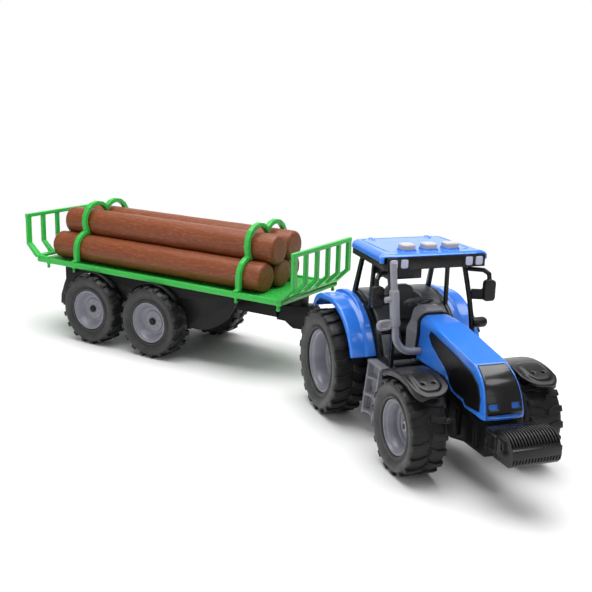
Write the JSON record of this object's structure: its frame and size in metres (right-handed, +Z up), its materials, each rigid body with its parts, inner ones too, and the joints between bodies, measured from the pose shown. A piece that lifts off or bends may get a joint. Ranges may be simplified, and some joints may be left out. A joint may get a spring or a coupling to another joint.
{
  "type": "toy tractor with trailer",
  "caption": "Toy farm tractor with an open cab, lugged wheels, roof buttons and friction drive, hitched to a flat trailer of round logs between gates.",
  "frame": {"origin": "on the ground under the middle of the whole part's box, tractor and trailer together", "axes": "+X is the tractor's forward direction, +Y is the tractor's left, +Z is up; at rest the trailer stands turned 38.4 degrees behind it"},
  "size_m": [0.5272, 0.2986, 0.1326],
  "materials": {
    "chassis_black": "satin moulded ABS",
    "gloss_black": "high gloss moulded panel",
    "blue_body": "gloss moulded ABS",
    "cab_grey": "satin moulded ABS",
    "light_grey": "satin moulded ABS",
    "rim_grey": "satin moulded ABS",
    "tyre_rubber": "soft matt vinyl",
    "green_body": "gloss moulded ABS",
    "green_strap": "soft flexible vinyl",
    "log_brown": "satin moulded with bark lines",
    "lamp_white": "gloss",
    "button_grey": "satin",
    "steel": "plated",
    "flywheel_metal": "cast zinc",
    "gear_white": "moulded acetal",
    "board_green": "coated glass epoxy",
    "silicone": "moulded silicone",
    "speaker_black": "paper cone in a plastic basket"
  },
  "bodies": {
    "tractor": {"chassis": "chassis_black", "chassis_cover": "chassis_black", "front_weight": "chassis_black", "tow_hitch": "chassis_black", "body_screws": "steel", "hood": "blue_body", "side_panels": "gloss_black", "grille_mask": "gloss_black", "cab_frame": "chassis_black", "cab_tub": "cab_grey", "dashboard": "light_grey", "roof": "blue_body", "roof_lamps": "lamp_white", "rubber_domes": "silicone", "circuit_board": "board_green", "electronics_box": "chassis_black", "battery_door": "chassis_black", "button_cells": "steel", "speaker": "speaker_black", "rear_fender_left": "blue_body", "rear_fender_right": "blue_body", "front_fender_left": "chassis_black", "front_fender_right": "chassis_black", "ladders": "light_grey", "exhaust": "rim_grey", "mirror_left": "chassis_black", "mirror_right": "chassis_black", "gearbox_case": "cab_grey"},
    "steering": {"steering_wheel": "cab_grey"},
    "button_left": {"button_left": "button_grey"},
    "button_middle": {"button_middle": "button_grey"},
    "button_right": {"button_right": "button_grey"},
    "rear_wheels": {"rear_axle": "steel", "drive_gear": "gear_white", "rear_rim_left": "rim_grey", "rear_rim_right": "rim_grey", "rear_tyre_left": "tyre_rubber", "rear_tyre_right": "tyre_rubber"},
    "front_wheels": {"front_axle": "steel", "front_rims": "rim_grey", "front_tyres": "tyre_rubber"},
    "idler": {"idler_gear": "gear_white"},
    "flywheel": {"flywheel": "flywheel_metal"},
    "trailer": {"trailer_chassis": "chassis_black", "deck": "green_body", "front_gate": "green_body", "rear_gate": "green_body", "strap_front": "green_strap", "strap_rear": "green_strap", "log_lower_right": "log_brown", "log_lower_middle": "log_brown", "log_lower_left": "log_brown", "log_upper_right": "log_brown", "log_upper_left": "log_brown"},
    "trailer_wheels_front": {"trailer_axle_front": "chassis_black", "trailer_rims_front": "rim_grey", "trailer_tyres_front": "tyre_rubber"},
    "trailer_wheels_rear": {"trailer_axle_rear": "chassis_black", "trailer_rims_rear": "rim_grey", "trailer_tyres_rear": "tyre_rubber"}
  },
  "joints": [
    {"name": "rear_wheels_roll", "type": "hinge", "parent": "tractor", "child": "rear_wheels", "pos_m": [0.06962, 0.09082, 0.038], "axis": [0, 1, 0], "continuous": true},
    {"name": "front_wheels_roll", "type": "hinge", "parent": "tractor", "child": "front_wheels", "pos_m": [0.18462, 0.09082, 0.0304], "axis": [0, 1, 0], "continuous": true},
    {"name": "idler_spin", "type": "hinge", "parent": "tractor", "child": "idler", "pos_m": [0.08397, 0.09082, 0.038], "axis": [0, 1, 0], "continuous": true},
    {"name": "flywheel_spin", "type": "hinge", "parent": "tractor", "child": "flywheel", "pos_m": [0.09832, 0.09082, 0.038], "axis": [0, 1, 0], "continuous": true},
    {"name": "steering_turn", "type": "hinge", "parent": "tractor", "child": "steering", "pos_m": [0.11722, 0.09082, 0.0771], "axis": [-0.4695, 0, 0.8829], "continuous": true},
    {"name": "button_left_press", "type": "slide", "parent": "tractor", "child": "button_left", "axis": [0, 0, -1], "range_m": [0, 0.0012], "stiffness_N_per_m": 400},
    {"name": "button_middle_press", "type": "slide", "parent": "tractor", "child": "button_middle", "axis": [0, 0, -1], "range_m": [0, 0.0012], "stiffness_N_per_m": 400},
    {"name": "button_right_press", "type": "slide", "parent": "tractor", "child": "button_right", "axis": [0, 0, -1], "range_m": [0, 0.0012], "stiffness_N_per_m": 400},
    {"name": "trailer_hitch", "type": "hinge", "parent": "tractor", "child": "trailer", "pos_m": [0.02222, 0.09082, 0.043], "axis": [0, 0, 1], "range_deg": [-98.4, 21.6]},
    {"name": "trailer_front_roll", "type": "hinge", "parent": "trailer", "child": "trailer_wheels_front", "pos_m": [-0.11728, -0.01975, 0.0308], "axis": [-0.6211, 0.7837, 0], "continuous": true},
    {"name": "trailer_rear_roll", "type": "hinge", "parent": "trailer", "child": "trailer_wheels_rear", "pos_m": [-0.1708, -0.06217, 0.0308], "axis": [-0.6211, 0.7837, 0], "continuous": true}
  ],
  "couplings": [
    {"joint": "idler_spin", "follows": "rear_wheels_roll", "ratio": -2.8},
    {"joint": "flywheel_spin", "follows": "rear_wheels_roll", "ratio": 7.84}
  ]
}
